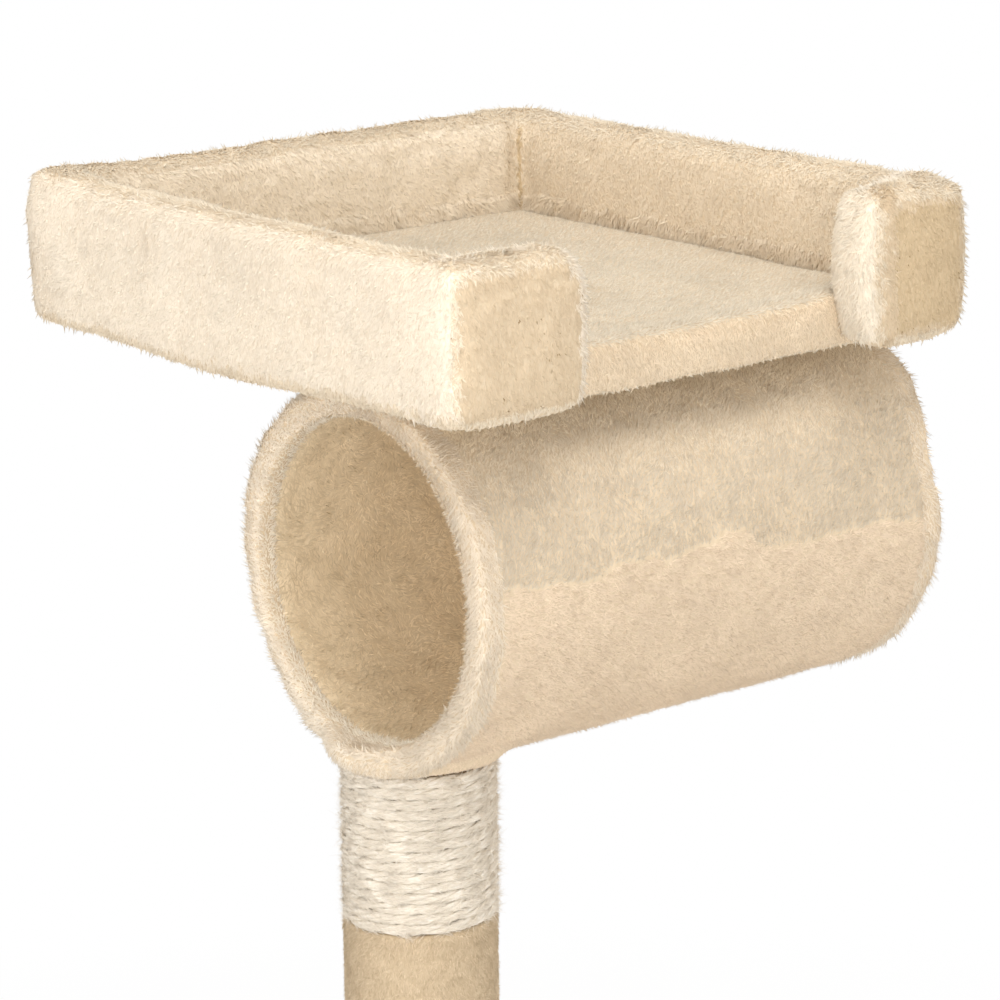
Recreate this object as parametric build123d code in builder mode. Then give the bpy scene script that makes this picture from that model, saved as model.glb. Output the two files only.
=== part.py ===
"""Plush cat tree: a walled bed tray on a round tunnel, carried by one wrapped post on a base board.

The front, where the tray is open, faces -Y, and the tunnel lies along X.
The origin is the middle of the base's underside.
"""

import os
from math import cos, pi, sin, sqrt

from build123d import *

os.makedirs("parts", exist_ok=True)

# Base, a square board wrapped in plush that is hemmed underneath
base_side = 500
base_corner = 45
base_height = 30
base_board_thickness = 20
base_plush = 8.5
base_edge_rounding = 8
hem_width = 30
hem_thickness = 1.5

# Post, a wound cardboard tube with a wooden plug in each end
post_x = -118
post_y = -71
post_height = 590
post_radius = 39
post_wall = 4
post_sleeve_radius = 44.5
plug_height = 40
saddle_height = 60

# Bolt that holds the post on the base
bolt_radius = 4
bolt_head_height = 5.3
bolt_head_flats = 13
bolt_well_radius = 18
bolt_well_depth = 8
washer_side = 24
washer_thickness = 1.6
insert_barrel_radius = 5
insert_barrel_length = 12
insert_flange_radius = 11
insert_flange_thickness = 1.5

# Sisal rope round the top of the post
rope_diameter = 5.75
rope_pitch = 6.2
rope_turns = 14
rope_sides = 8
rope_end_angle = 50
rope_clearance = 0.15
rope_samples_per_turn = 36

# Tunnel, a cardboard tube between an outer plush cover and an inner lining
tunnel_near_x = -161
tunnel_far_x = 196
tunnel_radius = 111
tunnel_tube_radius = 102.5
tunnel_tube_bore = 97.5
tunnel_bore = 92
tunnel_rim_plush = 8
tunnel_rim_bevel = 6
tunnel_hem = 14
tunnel_flattening = 1.5
collar_radius = 45
collar_drop = 1

# Tray, five boards and a floor, each wrapped in plush
tray_width = 392
tray_depth = 402
wall_height = 93
wall_thickness = 32
wall_board_thickness = 14
wall_plush = 9
return_thickness = 44
return_board_thickness = 24
left_return = 95
right_return = 74
floor_height = 31
floor_board_thickness = 15
floor_under_plush = 6.5
lip_setback = 33
lip_plush = 8.5
lip_rounding = 10
outer_rounding = 14
inner_rounding = 2
edge_rounding = 12
underside_bevel = 6

# Countersunk screws
screw_radius = 2.25
screw_head_radius = 4.5
screw_head_height = 3
screw_head_slope = 37
tunnel_screw_length = 45
tray_screw_length = 32
tunnel_screw_spacing = 36
tray_screw_spacing = 115
tray_screw_middle_x = 15

# Levels worked out from the sizes above
board_top = hem_thickness + base_board_thickness
tunnel_bottom = base_height + post_height
tunnel_y = post_y
tunnel_z = tunnel_bottom + tunnel_radius
tray_z = tunnel_z + tunnel_radius - tunnel_flattening
wall_top = tray_z + wall_height
tray_left = -tray_width / 2
tray_right = tray_width / 2
tray_front = -tray_depth / 2
tray_back = tray_depth / 2
side_board_face = tray_width / 2 - wall_plush - wall_board_thickness
back_board_face = tray_depth / 2 - wall_plush - wall_board_thickness
return_board_back = tray_front + wall_plush + return_board_thickness
lip_front = tray_front + lip_setback
floor_board_front = lip_front + lip_plush
floor_board_z = tray_z + floor_under_plush
floor_top = tray_z + floor_height
wall_board_z = tray_z + wall_plush
wall_board_height = wall_height - 2 * wall_plush
tunnel_line = Plane((0, tunnel_y, tunnel_z), x_dir=(1, 0, 0), z_dir=(0, 0, 1))
tunnel_mouth = Plane((tunnel_near_x, tunnel_y, tunnel_z), x_dir=(0, 1, 0), z_dir=(1, 0, 0))
tunnel_axis = Axis((0, tunnel_y, tunnel_z), (1, 0, 0))


def save(piece, name):
    piece.part.label = name
    export_step(piece.part, f"parts/{name}.step")


def panel(x_range, y_range, z_range):
    """Adds a flat panel between the given limits to the part being built."""
    low = (x_range[0], y_range[0], z_range[0])
    size = (x_range[1] - x_range[0], y_range[1] - y_range[0], z_range[1] - z_range[0])
    with Locations(low):
        Box(*size, align=Align.MIN)


# Base bolt with its washer, in a well under the board, and the nut plate that it screws into
bolt_seat = hem_thickness + bolt_well_depth
with BuildPart() as base_washer:
    with BuildSketch(Plane((post_x, post_y, bolt_seat - washer_thickness))):
        Rectangle(washer_side, washer_side)
        Circle(bolt_radius, mode=Mode.SUBTRACT)
    extrude(amount=washer_thickness)
save(base_washer, "base_washer")

insert_top = board_top + plug_height + insert_flange_thickness
bolt_head_top = bolt_seat - washer_thickness
with BuildPart() as base_bolt:
    with BuildSketch(Plane((post_x, post_y, bolt_head_top - bolt_head_height))):
        RegularPolygon(bolt_head_flats / 2, 6, major_radius=False)
    extrude(amount=bolt_head_height)
    with BuildSketch(Plane((post_x, post_y, bolt_head_top))):
        Circle(bolt_radius)
    extrude(amount=insert_top - bolt_head_top)
save(base_bolt, "base_bolt")

with BuildPart() as post_nut_plate:
    with BuildSketch(Plane((post_x, post_y, board_top + plug_height))):
        Circle(insert_flange_radius)
    extrude(amount=insert_flange_thickness)
    with BuildSketch(Plane((post_x, post_y, board_top + plug_height))):
        Circle(insert_barrel_radius)
    extrude(amount=-insert_barrel_length)
    add(base_bolt.part, mode=Mode.SUBTRACT)
save(post_nut_plate, "post_nut_plate")

# Base board, with the well for the bolt's head
with BuildPart() as base_board:
    with BuildSketch(Plane.XY.offset(hem_thickness)):
        board_side = base_side - 2 * base_plush
        RectangleRounded(board_side, board_side, base_corner - base_plush)
    extrude(amount=base_board_thickness)
    with Locations(Plane((post_x, post_y, hem_thickness), z_dir=(0, 0, -1))):
        CounterBoreHole(bolt_radius, bolt_well_radius, bolt_well_depth, base_board_thickness)
save(base_board, "base_board")

# Base cover: plush over the top and round the edges, its hem under the board
with BuildPart() as base_cover:
    with BuildSketch():
        RectangleRounded(base_side, base_side, base_corner)
    extrude(amount=base_height)
    fillet(base_cover.faces().sort_by(Axis.Z)[-1].edges(), base_edge_rounding)
    with BuildSketch(Plane.XY.offset(hem_thickness)):
        RectangleRounded(board_side, board_side, base_corner - base_plush)
    extrude(amount=base_board_thickness, mode=Mode.SUBTRACT)
    with BuildSketch():
        window_side = board_side - 2 * hem_width
        RectangleRounded(window_side, window_side, base_corner - base_plush)
    extrude(amount=hem_thickness, mode=Mode.SUBTRACT)
    with BuildSketch(Plane((post_x, post_y, board_top))):
        Circle(post_radius)
    extrude(amount=base_height, mode=Mode.SUBTRACT)
save(base_cover, "base_cover")

# Foot plug, glued in the tube's lower end
with BuildPart() as post_foot_plug:
    with BuildSketch(Plane((post_x, post_y, board_top))):
        Circle(post_radius - post_wall)
        Circle(bolt_radius, mode=Mode.SUBTRACT)
    extrude(amount=plug_height)
    add(post_nut_plate.part, mode=Mode.SUBTRACT)
save(post_foot_plug, "post_foot_plug")

# Everything within the post's outside, with its top cut to lie against the tunnel tube
with BuildPart() as post_form:
    with BuildSketch(Plane((post_x, post_y, board_top))):
        Circle(post_radius)
    extrude(amount=tunnel_z - board_top)
    with BuildSketch(tunnel_mouth):
        Circle(tunnel_tube_radius)
    extrude(amount=tunnel_far_x - tunnel_near_x, mode=Mode.SUBTRACT)

with BuildPart() as post_tube:
    add(post_form.part)
    with BuildSketch(Plane((post_x, post_y, board_top))):
        Circle(post_radius - post_wall)
    extrude(amount=tunnel_z - board_top, mode=Mode.SUBTRACT)
save(post_tube, "post_tube")


def countersunk_screw(length):
    """A screw along +Z with the flat of its head at the origin."""
    with BuildPart() as screw:
        with BuildSketch():
            Circle(screw_radius)
        extrude(amount=length)
        with BuildSketch():
            Circle(screw_head_radius)
        extrude(amount=screw_head_height, taper=screw_head_slope)
    return screw


# Two screws inside the tunnel go down into the post's saddle plug
lower_screw_x = [post_x - tunnel_screw_spacing / 2, post_x + tunnel_screw_spacing / 2]
tube_floor = tunnel_z - tunnel_tube_bore
lower_seats = [Plane((x, tunnel_y, tube_floor), z_dir=(0, 0, -1)) for x in lower_screw_x]
lower_screw = countersunk_screw(tunnel_screw_length)
with BuildPart() as tunnel_screws:
    with Locations(*lower_seats):
        add(lower_screw.part)
save(tunnel_screws, "tunnel_screws")

# A row of three along the tunnel's top line goes up into the tray's floor board
upper_screw_x = [tray_screw_middle_x + step * tray_screw_spacing for step in (-1, 0, 1)]
upper_seats = [Plane((x, tunnel_y, tunnel_z + tunnel_tube_bore)) for x in upper_screw_x]
upper_screw = countersunk_screw(tray_screw_length)
with BuildPart() as tray_mount_screws:
    with Locations(*upper_seats):
        add(upper_screw.part)
save(tray_mount_screws, "tray_mount_screws")

# Saddle plug, glued in the tube's upper end and hollowed to the tunnel's round
with BuildPart() as post_saddle_plug:
    with BuildSketch(Plane((post_x, post_y, tunnel_z - tunnel_tube_radius - saddle_height))):
        Circle(post_radius - post_wall)
    extrude(amount=tunnel_tube_radius + saddle_height)
    add(post_form.part, mode=Mode.INTERSECT)
    add(tunnel_screws.part, mode=Mode.SUBTRACT)
save(post_saddle_plug, "post_saddle_plug")

# Sisal rope: a close helix, as arcs that share their tangents two to each half turn
rope_radius = rope_diameter / 2
rope_line_radius = post_radius + rope_radius + rope_clearance
rope_end_rise = rope_diameter * rope_pitch / (2 * pi * rope_line_radius)
rope_top = tunnel_bottom - collar_drop - rope_radius - rope_clearance - rope_end_rise
rope_rise = rope_turns * rope_pitch


def rope_point(turn):
    angle = rope_end_angle * pi / 180 + turn * 2 * pi
    across = (post_x + rope_line_radius * cos(angle), post_y + rope_line_radius * sin(angle))
    return Vector(*across, rope_top - rope_rise + turn * rope_pitch)


def rope_direction(turn):
    angle = rope_end_angle * pi / 180 + turn * 2 * pi
    around = 2 * pi * rope_line_radius
    return Vector(-around * sin(angle), around * cos(angle), rope_pitch).normalized()


def arc_pair(start, start_way, end, end_way):
    """The point where two arcs of equal reach meet between two points with given directions."""
    span = end - start
    ways = start_way + end_way
    a = 2 * (start_way.dot(end_way) - 1)
    b = -2 * span.dot(ways)
    c = span.dot(span)
    reach = (-b - sqrt(b * b - 4 * a * c)) / (2 * a)
    if reach < 0:
        reach = (-b + sqrt(b * b - 4 * a * c)) / (2 * a)
    first = start + start_way * reach
    second = end - end_way * reach
    return (first + second) / 2, (second - first).normalized()


half_turns = [step / 2 for step in range(2 * rope_turns + 1)]
rope_start = rope_point(0) - rope_direction(0) * rope_diameter
rope_outward = (rope_point(0) - Vector(post_x, post_y, rope_point(0).Z)).normalized()
rope_finish = rope_point(rope_turns) + rope_direction(rope_turns) * rope_diameter
with BuildPart() as sisal_winding:
    with BuildLine() as rope_line:
        Line(rope_start, rope_point(0))
        for turn, next_turn in zip(half_turns, half_turns[1:]):
            begin = rope_point(turn)
            end = rope_point(next_turn)
            middle, way = arc_pair(begin, rope_direction(turn), end, rope_direction(next_turn))
            TangentArc(begin, middle, tangent=rope_direction(turn))
            TangentArc(middle, end, tangent=way)
        Line(rope_point(rope_turns), rope_finish)
    with BuildSketch(Plane(rope_start, x_dir=rope_outward, z_dir=rope_direction(0))):
        RegularPolygon(rope_radius, rope_sides)
    sweep(path=rope_line.wire())
save(sisal_winding, "sisal_winding")

rope_wire = rope_line.wire()
sample_count = rope_turns * rope_samples_per_turn
rope_samples = [rope_wire @ (i / sample_count) for i in range(sample_count + 1)]
rope_gap = min(
    (p - q).length - rope_diameter
    for i, p in enumerate(rope_samples)
    for q in rope_samples[i + rope_samples_per_turn // 2 : i + 2 * rope_samples_per_turn]
)
rope_section = rope_sides / 2 * rope_radius**2 * sin(2 * pi / rope_sides)
rope_fill = sisal_winding.part.volume / (rope_section * rope_wire.length)
print("rope: least gap to itself", round(rope_gap, 3), "mm")
print("rope: length", round(rope_wire.length), "mm")
print("rope: volume over section times length", round(rope_fill, 6))

# Post sleeve, short plush from the base up to the rope
sleeve_top = rope_top - rope_rise - rope_end_rise - rope_radius - rope_clearance
with BuildPart() as post_sleeve:
    with BuildSketch(Plane((post_x, post_y, base_height))):
        Circle(post_sleeve_radius)
        Circle(post_radius, mode=Mode.SUBTRACT)
    extrude(amount=sleeve_top - base_height)
save(post_sleeve, "post_sleeve")

# Tunnel tube
tube_near_x = tunnel_near_x + tunnel_rim_plush
tube_far_x = tunnel_far_x - tunnel_rim_plush
with BuildPart() as tunnel_tube:
    with BuildSketch(tunnel_line):
        with Locations(((tube_near_x + tube_far_x) / 2, (tunnel_tube_radius + tunnel_tube_bore) / 2)):
            Rectangle(tube_far_x - tube_near_x, tunnel_tube_radius - tunnel_tube_bore)
    revolve(axis=tunnel_axis)
    add(tunnel_screws.part, mode=Mode.SUBTRACT)
    add(tray_mount_screws.part, mode=Mode.SUBTRACT)
save(tunnel_tube, "tunnel_tube")

# Tunnel lining, between the rims' turned-in plush
lining_near_x = tunnel_near_x + tunnel_hem
lining_far_x = tunnel_far_x - tunnel_hem
with BuildPart() as tunnel_lining:
    with BuildSketch(tunnel_line):
        with Locations(((lining_near_x + lining_far_x) / 2, (tunnel_tube_bore + tunnel_bore) / 2)):
            Rectangle(lining_far_x - lining_near_x, tunnel_tube_bore - tunnel_bore)
    revolve(axis=tunnel_axis)
save(tunnel_lining, "tunnel_lining")

# Tunnel cover: rolled over both rims, gathered in a collar round the post, pressed flat by the tray
with BuildPart() as tunnel_cover:
    with BuildSketch(tunnel_line):
        with Locations(((tunnel_near_x + tunnel_far_x) / 2, (tunnel_radius + tunnel_bore) / 2)):
            rolled = Rectangle(tunnel_far_x - tunnel_near_x, tunnel_radius - tunnel_bore)
        chamfer(rolled.vertices(), tunnel_rim_bevel)
    revolve(axis=tunnel_axis)
    with BuildSketch(Plane((post_x, post_y, tunnel_bottom - collar_drop))):
        Circle(collar_radius)
    extrude(amount=tunnel_radius - tunnel_tube_bore)
    with BuildSketch(tunnel_line):
        with Locations(((tube_near_x + tube_far_x) / 2, (tunnel_tube_radius + tunnel_tube_bore) / 2)):
            Rectangle(tube_far_x - tube_near_x, tunnel_tube_radius - tunnel_tube_bore)
        with Locations(((lining_near_x + lining_far_x) / 2, (tunnel_tube_bore + tunnel_bore) / 2)):
            Rectangle(lining_far_x - lining_near_x, tunnel_tube_bore - tunnel_bore)
    revolve(axis=tunnel_axis, mode=Mode.SUBTRACT)
    add(post_form.part, mode=Mode.SUBTRACT)
    with Locations((0, tunnel_y, tray_z)):
        above = (Align.CENTER, Align.CENTER, Align.MIN)
        Box(tray_width, tray_depth, wall_height, align=above, mode=Mode.SUBTRACT)
    add(tray_mount_screws.part, mode=Mode.SUBTRACT)
save(tunnel_cover, "tunnel_cover")

# Tray boards: the sides butt against the returns in front and hold the back board between them
left_board = tray_left + wall_plush
right_board = tray_right - wall_plush
left_return_end = tray_left + left_return
right_return_end = tray_right - right_return
wall_board_levels = (wall_board_z, wall_board_z + wall_board_height)
side_board_reach = (return_board_back, tray_back - wall_plush)
back_board_reach = (back_board_face, tray_back - wall_plush)
return_board_reach = (tray_front + wall_plush, return_board_back)
tray_boards = {
    "tray_left_board": ((left_board, -side_board_face), side_board_reach),
    "tray_right_board": ((side_board_face, right_board), side_board_reach),
    "tray_back_board": ((-side_board_face, side_board_face), back_board_reach),
    "tray_front_left_board": ((left_board, left_return_end - wall_plush), return_board_reach),
    "tray_front_right_board": ((right_return_end + wall_plush, right_board), return_board_reach),
}
with BuildPart() as board_forms:
    for x_range, y_range in tray_boards.values():
        panel(x_range, y_range, wall_board_levels)
for name, (x_range, y_range) in tray_boards.items():
    with BuildPart() as wall_board:
        panel(x_range, y_range, wall_board_levels)
    save(wall_board, name)

with BuildPart() as floor_board_form:
    panel(
        (-side_board_face, side_board_face),
        (floor_board_front, back_board_face),
        (floor_board_z, floor_board_z + floor_board_thickness),
    )
with BuildPart() as tray_floor_board:
    add(floor_board_form.part)
    add(tray_mount_screws.part, mode=Mode.SUBTRACT)
save(tray_floor_board, "tray_floor_board")

# Tray floor cover, plush that wraps the board's front edge as a rounded lip
with BuildPart() as floor_form:
    panel((-side_board_face, side_board_face), (lip_front, back_board_face), (tray_z, floor_top))
    fillet(floor_form.faces().sort_by(Axis.Y)[0].edges().filter_by(Axis.X), lip_rounding)
with BuildPart() as tray_floor_cover:
    add(floor_form.part)
    add(floor_board_form.part, mode=Mode.SUBTRACT)
    add(tray_mount_screws.part, mode=Mode.SUBTRACT)
save(tray_floor_cover, "tray_floor_cover")

# The plush round the tray's walls as one rounded ring, open at the front between the two returns
inside_width = tray_width - 2 * wall_thickness
inside_back = tray_back - wall_thickness
inside_front = tray_front + return_thickness


def is_inner_corner(edge):
    return abs(abs(edge.center().X) - inside_width / 2) < wall_thickness / 2


with BuildPart() as wall_form:
    with BuildSketch(Plane.XY.offset(tray_z)):
        Rectangle(tray_width, tray_depth)
        with Locations((0, (inside_front + inside_back) / 2)):
            Rectangle(inside_width, inside_back - inside_front, mode=Mode.SUBTRACT)
        with Locations((left_return_end, tray_front)):
            opening = right_return_end - left_return_end
            Rectangle(opening, return_thickness, align=Align.MIN, mode=Mode.SUBTRACT)
    extrude(amount=wall_height)
    uprights = wall_form.edges().filter_by(Axis.Z)
    fillet([edge for edge in uprights if not is_inner_corner(edge)], outer_rounding)
    fillet(wall_form.edges().filter_by(Axis.Z).filter_by(is_inner_corner), inner_rounding)
    fillet(wall_form.faces().sort_by(Axis.Z)[-1].edges(), edge_rounding)
    chamfer(wall_form.faces().sort_by(Axis.Z)[0].edges(), underside_bevel)

# Each wall's own plush cover is its stretch of that ring
wall_levels = (tray_z, wall_top)
side_reach = (inside_front, tray_back)
return_reach = (tray_front, inside_front)
tray_covers = {
    "tray_left_cover": ((tray_left, -inside_width / 2), side_reach),
    "tray_right_cover": ((inside_width / 2, tray_right), side_reach),
    "tray_back_cover": ((-inside_width / 2, inside_width / 2), (inside_back, tray_back)),
    "tray_front_left_cover": ((tray_left, left_return_end), return_reach),
    "tray_front_right_cover": ((right_return_end, tray_right), return_reach),
}
for name, (x_range, y_range) in tray_covers.items():
    with BuildPart() as stretch:
        panel(x_range, y_range, wall_levels)
    with BuildPart() as wall_cover:
        add(wall_form.part)
        add(stretch.part, mode=Mode.INTERSECT)
        add(board_forms.part, mode=Mode.SUBTRACT)
        add(floor_form.part, mode=Mode.SUBTRACT)
    save(wall_cover, name)
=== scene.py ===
"""Looks of a plush cat tree: a walled bed tray on a round tunnel, on one post with a rope band."""
from functools import partial
from math import cos, pi, radians, sin

import bmesh
import bpy
import numpy as np
from mathutils import Matrix, Vector


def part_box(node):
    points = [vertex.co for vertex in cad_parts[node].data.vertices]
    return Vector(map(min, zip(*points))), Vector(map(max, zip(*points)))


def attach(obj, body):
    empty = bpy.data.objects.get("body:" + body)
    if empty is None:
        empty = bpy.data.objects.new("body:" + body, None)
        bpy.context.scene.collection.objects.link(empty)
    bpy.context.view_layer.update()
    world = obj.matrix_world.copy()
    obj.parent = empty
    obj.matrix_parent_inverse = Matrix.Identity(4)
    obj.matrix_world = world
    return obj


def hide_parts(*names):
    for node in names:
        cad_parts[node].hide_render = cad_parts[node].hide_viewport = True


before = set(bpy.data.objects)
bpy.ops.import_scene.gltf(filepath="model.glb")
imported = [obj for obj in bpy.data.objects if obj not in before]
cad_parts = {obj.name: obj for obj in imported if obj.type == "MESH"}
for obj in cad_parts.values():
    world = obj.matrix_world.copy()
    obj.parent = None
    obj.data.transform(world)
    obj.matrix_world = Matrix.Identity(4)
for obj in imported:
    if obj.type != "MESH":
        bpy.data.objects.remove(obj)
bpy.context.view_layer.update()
mm = 0.001


# Base board: the square foot of the tree, chipboard with rounded corners.
# It is seen only from below, inside the plush hem, with the bolt's head sunk in a well.
def tone(red, green, blue):
    """A colour as it is read off a screen, 0 to 255, in the strength that the shader wants."""
    level = np.array([red, green, blue]) / 255
    return (*np.where(level < 0.04045, level / 12.92, ((level + 0.055) / 1.055) ** 2.4), 1.0)


def new_finish(name, roughness, metallic=0.0):
    """A new material, its node tree and its shader."""
    material = bpy.data.materials.new(name)
    material.use_nodes = True
    tree = material.node_tree
    shader = tree.nodes["Principled BSDF"]
    shader.inputs["Roughness"].default_value = roughness
    shader.inputs["Metallic"].default_value = metallic
    shader.inputs["Specular IOR Level"].default_value = 0.5 if metallic else 0.15
    return material, tree, shader


def add_node(tree, kind, *sources, **settings):
    """A new node whose inputs, in their order, take these outputs or values."""
    node = tree.nodes.new(f"ShaderNode{kind}")
    for setting, value in settings.items():
        setattr(node, setting, value)
    for socket, source in zip(node.inputs, sources):
        if isinstance(source, bpy.types.NodeSocket):
            tree.links.new(source, socket)
        else:
            socket.default_value = source
    return node.outputs


def grain(tree, kind, scale, stretch=(1, 1, 1), detail=4.0):
    """A noise or cell pattern that stays with the object, finer along the axes with a larger stretch."""
    place = add_node(tree, "TexCoord")["Object"]
    still = (0, 0, 0)
    mapped = add_node(tree, "Mapping", place, still, still, stretch)["Vector"]
    return add_node(tree, kind, mapped, 0, scale, detail)


def stain(tree, source, shader, stops):
    """Colours the shader by a pattern, with (place, colour) stops."""
    ramp = tree.nodes.new("ShaderNodeValToRGB")
    points = ramp.color_ramp.elements
    while len(points) < len(stops):
        points.new(0.5)
    for point, (place, colour) in zip(points, stops):
        point.position = place
        point.color = colour
    tree.links.new(source, ramp.inputs["Fac"])
    tree.links.new(ramp.outputs["Color"], shader.inputs["Base Color"])


def emboss(tree, source, shader, depth):
    """Raises the surface by a pattern, by that many metres at its strongest."""
    bump = tree.nodes.new("ShaderNodeBump")
    bump.inputs["Distance"].default_value = depth
    bump.inputs["Strength"].default_value = 0.8
    tree.links.new(source, bump.inputs["Height"])
    tree.links.new(bump.outputs["Normal"], shader.inputs["Normal"])


def dress(node, material):
    """Gives a CAD piece that stays in sight or inside its finish."""
    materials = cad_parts[node].data.materials
    materials.clear()
    materials.append(material)


chipboard, tree, shader = new_finish("chipboard", 0.8)
chips = grain(tree, "TexVoronoi", 260, (1, 1.6, 1))
chip_colours = [(0.1, tone(150, 116, 74)), (0.5, tone(196, 162, 114)), (0.9, tone(216, 188, 144))]
stain(tree, chips["Color"], shader, chip_colours)
emboss(tree, chips["Distance"], shader, 0.3 * mm)
dress("base_board", chipboard)


# Base bolt, washer and nut plate: zinc-plated steel that pulls the post down on the base.
# The bolt goes up through the board and the foot plug into the nut plate.
def grained(name, roughness, scale, stretch, stops, depth, detail=4.0, metallic=0.0):
    """A finish whose colour and relief follow one noise."""
    material, tree, shader = new_finish(name, roughness, metallic)
    noise = grain(tree, "TexNoise", scale, stretch, detail)["Fac"]
    stain(tree, noise, shader, stops)
    emboss(tree, noise, shader, depth)
    return material


spangle = [(0.3, tone(150, 150, 148)), (0.7, tone(196, 196, 192))]
zinc = grained("zinc_plated_steel", 0.38, 420, (1, 1, 1), spangle, 0.05 * mm, metallic=1.0)
for fastener in ("base_bolt", "base_washer", "post_nut_plate", "tunnel_screws", "tray_mount_screws"):
    dress(fastener, zinc)


# Base cover: plush glued over the board's top and edges, and stapled underneath as a hem.
# The cloth is modelled as a shell round the board, and its pile as tufts that grow from it.
def drift(points, cell, seed):
    """Smooth random values from -1 to 1, one swell to each cell of that size."""
    place = points / cell
    corner = np.floor(place).astype(np.int64)
    part = place - corner
    part = part * part * (3 - 2 * part)
    total = np.zeros(len(points))
    for step in np.ndindex(2, 2, 2):
        key = (corner + step) * (73856093, 19349663, 83492791)
        mixed = key[:, 0] ^ key[:, 1] ^ key[:, 2] ^ (seed * 40503)
        mixed = ((mixed ^ (mixed >> 13)) * 1274126177) & 0xFFFFFFFF
        weight = np.where(step, part, 1 - part).prod(axis=1)
        total += weight * (((mixed >> 8) & 0xFFFF) / 32767.5 - 1)
    return total


def swirls(points, cell, seed):
    """Three drifts as a direction that wanders from place to place."""
    return np.column_stack([drift(points, cell, seed + axis) for axis in range(3)])


def unit(vectors):
    return vectors / np.maximum(np.linalg.norm(vectors, axis=1, keepdims=True), 1e-9)


def read_mesh(mesh):
    """A mesh's points, their normals and its triangles as arrays."""
    points = np.empty(len(mesh.vertices) * 3, np.float32)
    normals = np.empty(len(mesh.vertices) * 3, np.float32)
    mesh.vertices.foreach_get("co", points)
    mesh.vertex_normals.foreach_get("vector", normals)
    mesh.calc_loop_triangles()
    triangles = np.empty(len(mesh.loop_triangles) * 3, np.int32)
    mesh.loop_triangles.foreach_get("vertices", triangles)
    points = points.reshape(-1, 3).astype(float)
    normals = normals.reshape(-1, 3).astype(float)
    return points, normals, triangles.reshape(-1, 3)


def move_points(mesh, points):
    mesh.vertices.foreach_set("co", points.astype(np.float32).ravel())
    mesh.update()


def new_mesh(name, points, faces):
    mesh = bpy.data.meshes.new(name)
    mesh.from_pydata(points, [], faces)
    mesh.update()
    return mesh


def put_in_scene(name, data):
    holder = bpy.data.objects.new(name, data)
    bpy.context.scene.collection.objects.link(holder)
    return holder


def new_piece(name, mesh, materials):
    """Puts a mesh in the scene as a piece of the object."""
    mesh.name = name
    for material in materials:
        mesh.materials.append(material)
    mesh.shade_smooth()
    piece = put_in_scene(name, mesh)
    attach(piece, "root")
    return piece


def ring_faces(rings, count, closed=False):
    """Faces from each ring of that many points to the next, and from the last to the first if closed."""
    faces = []
    for ring in range(rings if closed else rings - 1):
        here = ring * count
        there = (ring + 1) % rings * count
        for i in range(count):
            j = (i + 1) % count
            faces.append((here + i, there + i, there + j, here + j))
    return faces


def lofted(name, loops):
    """A closed mesh over loops of equally many points, with a fan over its first and last loop."""
    count = len(loops[0])
    points = [point for loop in loops for point in loop]
    points += [np.mean(loops[0], axis=0), np.mean(loops[-1], axis=0)]
    faces = ring_faces(len(loops), count)
    last = (len(loops) - 1) * count
    for i in range(count):
        j = (i + 1) % count
        faces.append((i, j, last + count))
        faces.append((last + j, last + i, last + count + 1))
    return new_mesh(name, [tuple(point) for point in points], faces)


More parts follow.
